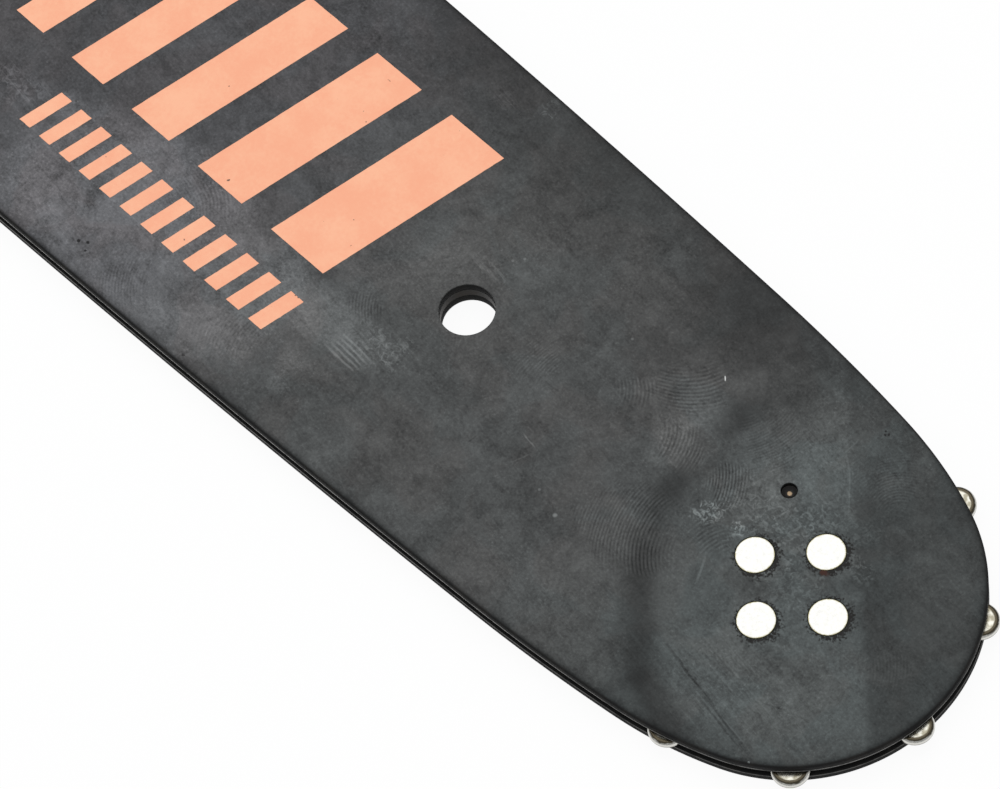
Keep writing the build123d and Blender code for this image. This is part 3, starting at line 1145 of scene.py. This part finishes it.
rivetFinish = {
    "steel": (0.50, 0.496, 0.476, 1),
    "rim": (0.30, 0.27, 0.12, 1),
    "rimWidth": 0.16,
    "rimSway": 0.25,
    "roughness": 0.38,
    "reliefDepth": 0.01,
    "grainSize": 0.35,
}


def rivetMaterial(name):
    made, tree, shader, place = newMaterial(name)
    fine = noise(tree, place, rivetFinish["grainSize"], 3.0, 0.6)
    out = rivetDistance(tree, flattened(tree, place))
    out = total(tree, out, centred(tree, fine, rivetFinish["rimSway"]))
    rim = ramp(tree, out, rivets["radius"] - rivetFinish["rimWidth"], rivets["radius"])
    colour = mixColour(tree, rim, rivetFinish["steel"], rivetFinish["rim"])
    finishMetal(tree, shader, colour, rivetFinish["roughness"], fine, rivetFinish["reliefDepth"])
    return made


# Teeth: bright rim with painted shade on its lower half, a painted dark reflection ring inside it, duller
# faces, and painted shade and reflection of the plates where the teeth run under them

toothFinish = {
    "bright": (0.66, 0.65, 0.61, 1),
    "face": (0.43, 0.42, 0.37, 1),
    "oil": (0.20, 0.185, 0.14, 1),
    "line": (0.055, 0.047, 0.032, 1),  # painted dark reflection ring along the edge of the flat faces
    "reflectionRingInset": 0.42,  # middle of that ring, in from the edge of the tooth
    "reflectionRingReach": 0.34,
    "reflectionRingSway": 0.4,
    "underShade": (0.27, 0.26, 0.235, 1),  # painted shade on the lower half of the rim
    "underShadeEdge": 0.1,
    # painted shade and dark reflection of the plates on the teeth near the plates' edge
    "plateShade": (0.045, 0.036, 0.02, 1),
    "plateShadeEdge": (-0.9, 0.2),  # out from the edge of the plates
    "blotchSway": 1.2,
    "grainSway": 0.6,
    "blotchEdge": (0.40, 0.64),
    "roughness": 0.24,
    "grainSize": 0.3,
    "blotchSize": 0.9,
}


def toothMaterial(name):
    made, tree, shader, place = newMaterial(name)
    fine = noise(tree, place, toothFinish["grainSize"], 3.0, 0.6)
    blotch = noise(tree, place, toothFinish["blotchSize"], 2.0, 0.5, shift=9.0)
    inset = insetFromEdge(tree)
    oily = ramp(tree, blotch, *toothFinish["blotchEdge"])
    face = mixColour(tree, oily, toothFinish["face"], toothFinish["oil"])
    above = maths(tree, "SUBTRACT", separate(tree, place)["Z"], (wheelLow.z + wheelHigh.z) / 2)
    # painted shade on the lower half of the rim
    upper = ramp(tree, above, -toothFinish["underShadeEdge"], toothFinish["underShadeEdge"])
    rim = mixColour(tree, upper, toothFinish["underShade"], toothFinish["bright"])
    onFace = ramp(tree, inset, 0.5 * wheel["edgeRound"], wheel["edgeRound"])
    colour = mixColour(tree, onFace, rim, face)
    # painted dark reflection ring inside the rim
    offReflectionRing = total(tree, inset, -toothFinish["reflectionRingInset"], centred(tree, blotch, toothFinish["reflectionRingSway"]))
    reach = toothFinish["reflectionRingReach"]
    line = ramp(tree, maths(tree, "ABSOLUTE", offReflectionRing), 0.5 * reach, reach, 1.0, 0.0)
    colour = mixColour(tree, line, colour, toothFinish["line"])
    # painted shade and reflection of the plates, out from the plates' edge
    out = distanceTo(tree, flattened(tree, place), (noseX, 0))
    out = total(tree, out, centred(tree, blotch, toothFinish["blotchSway"]),
                centred(tree, fine, toothFinish["grainSway"]), -rails["noseRadius"])
    plateShaded = ramp(tree, out, *toothFinish["plateShadeEdge"], 1.0, 0.0)
    colour = mixColour(tree, plateShaded, colour, toothFinish["plateShade"])
    finishMetal(tree, shader, colour, toothFinish["roughness"], fine)
    return made


# Old grease in the grease hole: black at the wall, with a painted warm glint in the hollow middle

grease = {
    "bottom": 2.72,
    "radius": 0.985,
    "wallZ": 3.50,
    "middleZ": 3.20,
    "rings": 8,
    "segments": 48,
    "black": (0.006, 0.005, 0.004, 1),
    "paintedGlint": (0.50, 0.36, 0.22, 1),
    # radius of the painted glint
    "spot": 0.36,
    "lumpSize": 0.4,
    "glintSway": 0.3,
    "roughness": 0.4,
    "specular": 0.2,
    "bump": (0.03, 0.4),
}


def greaseMaterial(name):
    made, tree, shader, place = newMaterial(name)
    lumps = noise(tree, place, grease["lumpSize"], 2.0, 0.5)
    out = distanceTo(tree, flattened(tree, place), greasePlace())
    out = total(tree, out, centred(tree, lumps, grease["glintSway"]))
    # painted glint in the middle of the hollow
    spot = ramp(tree, out, grease["spot"] * 0.5, grease["spot"], 1.0, 0.0)
    tree.links.new(mixColour(tree, spot, grease["black"], grease["paintedGlint"]), shader.inputs["Base Color"])
    shader.inputs["Roughness"].default_value = grease["roughness"]
    shader.inputs["Specular IOR Level"].default_value = grease["specular"]
    bump(tree, shader, lumps, *grease["bump"])
    return made


def greaseShape():
    rise = grease["wallZ"] - grease["middleZ"]
    profile = [(grease["radius"], grease["bottom"])]
    for step in range(grease["rings"]):
        share = 1 - step / grease["rings"]
        profile.append((grease["radius"] * share, grease["middleZ"] + rise * share**2))
    return turnedShape("greaseDab", greasePlace(), profile, grease["segments"], oldGrease)


# Printed ink: peach, a little mottled and pitted

inkFinish = {
    "fresh": (0.945, 0.42, 0.255, 1),
    "faded": (0.975, 0.49, 0.305, 1),
    "pit": (0.18, 0.10, 0.07, 1),
    "roughness": 0.55,
    "unevenGloss": 0.2,
    "specular": 0.25,
    "patchSize": 5.0,
    "grainSize": 0.5,
    "grainShare": 0.5,
    "mottleEdge": (0.3, 0.75),
    "pitSize": 0.9,
    "pitEdge": (0.80, 0.84),
    "bump": (0.01, 0.2),
}


def printMaterial(name):
    made, tree, shader, place = newMaterial(name)
    patch = noise(tree, place, inkFinish["patchSize"], 4.0, 0.6, shift=4.0)
    grain = noise(tree, place, inkFinish["grainSize"], 3.0, 0.6)
    pitNoise = noise(tree, place, inkFinish["pitSize"], 1.0, 0.4, shift=15.0)
    mottle = total(tree, patch, centred(tree, grain, inkFinish["grainShare"]))
    mottle = ramp(tree, mottle, *inkFinish["mottleEdge"])
    colour = mixColour(tree, mottle, inkFinish["fresh"], inkFinish["faded"])
    colour = mixColour(tree, ramp(tree, pitNoise, *inkFinish["pitEdge"]), colour, inkFinish["pit"])
    roughness = total(tree, inkFinish["roughness"], centred(tree, grain, inkFinish["unevenGloss"]))
    paint(tree, shader, colour, roughness)
    shader.inputs["Specular IOR Level"].default_value = inkFinish["specular"]
    bump(tree, shader, grain, *inkFinish["bump"])
    return made


blackUpper = coatingMaterial("blackCoatingUpper", faceZ, True)
blackLower = coatingMaterial("blackCoatingLower", lowerLow.z, False)
coreSteelWithShade = steelMaterial("coreSteelWithGrooveShade", coreSteelAndGrooveShade)
bearingSteel = steelMaterial("greasedBearingSteel", bearingFinish)
toothSteel = toothMaterial("hardenedToothSteel")
rivetSteel = rivetMaterial("groundRivetSteel")
oldGrease = greaseMaterial("oldGrease")
peachInk = printMaterial("peachInk")
print("materials made")

upperPlate = sidePlate("upperPlate", faceZ, upperLow.z, rails["upperWear"], True, blackUpper)
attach(upperPlate, "bar")
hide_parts("upper_side_plate")
lowerPlate = sidePlate("lowerPlate", lowerLow.z, lowerHigh.z, rails["lowerWear"], False, blackLower)
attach(lowerPlate, "bar")
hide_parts("lower_side_plate")
print("side plates made:", len(upperPlate.data.polygons), "and", len(lowerPlate.data.polygons), "faces")

ringNodes = ringTree()
toothPattern = toothShape()
sprocket = meshFromTree("toothedSprocket", ringNodes, {
    "Shape": toothPattern,
    "Count": wheel["toothCount"],
    "Ring Radius": 0.0,
    "First Turn": math.radians(wheel["phase"]),
    "Axis": (noseX * mm, 0, 0),
    "Material": toothSteel,
})
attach(sprocket, "sprocket")
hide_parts("nose_sprocket")
rivetPattern = rivetShape()
rivetHeads = meshFromTree("noseRivets", ringNodes, {
    "Shape": rivetPattern,
    "Count": rivets["count"],
    "Ring Radius": rivets["circleRadius"] * mm,
    "First Turn": 0.0,
    "Axis": (noseX * mm, 0, 0),
    "Material": rivetSteel,
})
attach(rivetHeads, "bar")
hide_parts(*(f"nose_rivet_{number + 1}" for number in range(rivets["count"])))
for pattern in (toothPattern, rivetPattern):
    bpy.data.objects.remove(pattern)
print("sprocket made:", len(sprocket.data.polygons), "faces, rivets:", len(rivetHeads.data.polygons))

greaseDab = greaseShape()
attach(greaseDab, "bar")
print("grease made")

# Printed design on the upper face: leaning bars that narrow towards the tail, and a row of short ones
wideBars = {"count": 7, "width": 9.0, "shrink": 0.86, "gap": 5.2, "height": 25.6, "x": 266.5, "y": 4.6}
shortBars = {"count": 12, "width": 2.2, "shrink": 0.985, "gap": 1.7, "height": 6.0, "x": 264.5, "y": -15.4}
ink = {
    "lean": 11.0,
    "thickness": 0.03,
    "proud": 0.012,
    "unevenness": 0.10,
    "raggedSize": 0.7,
    "pointsAcross": 14,
    "pointsAlong": 40,
}
barNodes = barsTree()


def printedRow(name, row):
    piece = meshFromTree(name, barNodes, {
        "Count": row["count"],
        "First Width": row["width"] * mm,
        "Shrink": row["shrink"],
        "Gap": row["gap"] * mm,
        "Height": row["height"] * mm,
        "Lean": math.radians(ink["lean"]),
        "Thickness": ink["thickness"] * mm,
        "Unevenness": ink["unevenness"] * mm,
        "Place": (row["x"] * mm, row["y"] * mm, (faceZ + ink["proud"] - ink["thickness"] / 2) * mm),
        "Material": peachInk,
    })
    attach(piece, "bar")


printedRow("wideBarPrint", wideBars)
printedRow("shortBarPrint", shortBars)
print("print made")

for name, node in frame["nodes"].items():
    finish = None
    if name == "core_plate":
        finish = coreSteelWithShade
    elif name == "bearing_race" or name.startswith("roller_"):
        finish = bearingSteel
    if finish:
        node.data.materials.clear()
        node.data.materials.append(finish)
print("inner pieces painted")
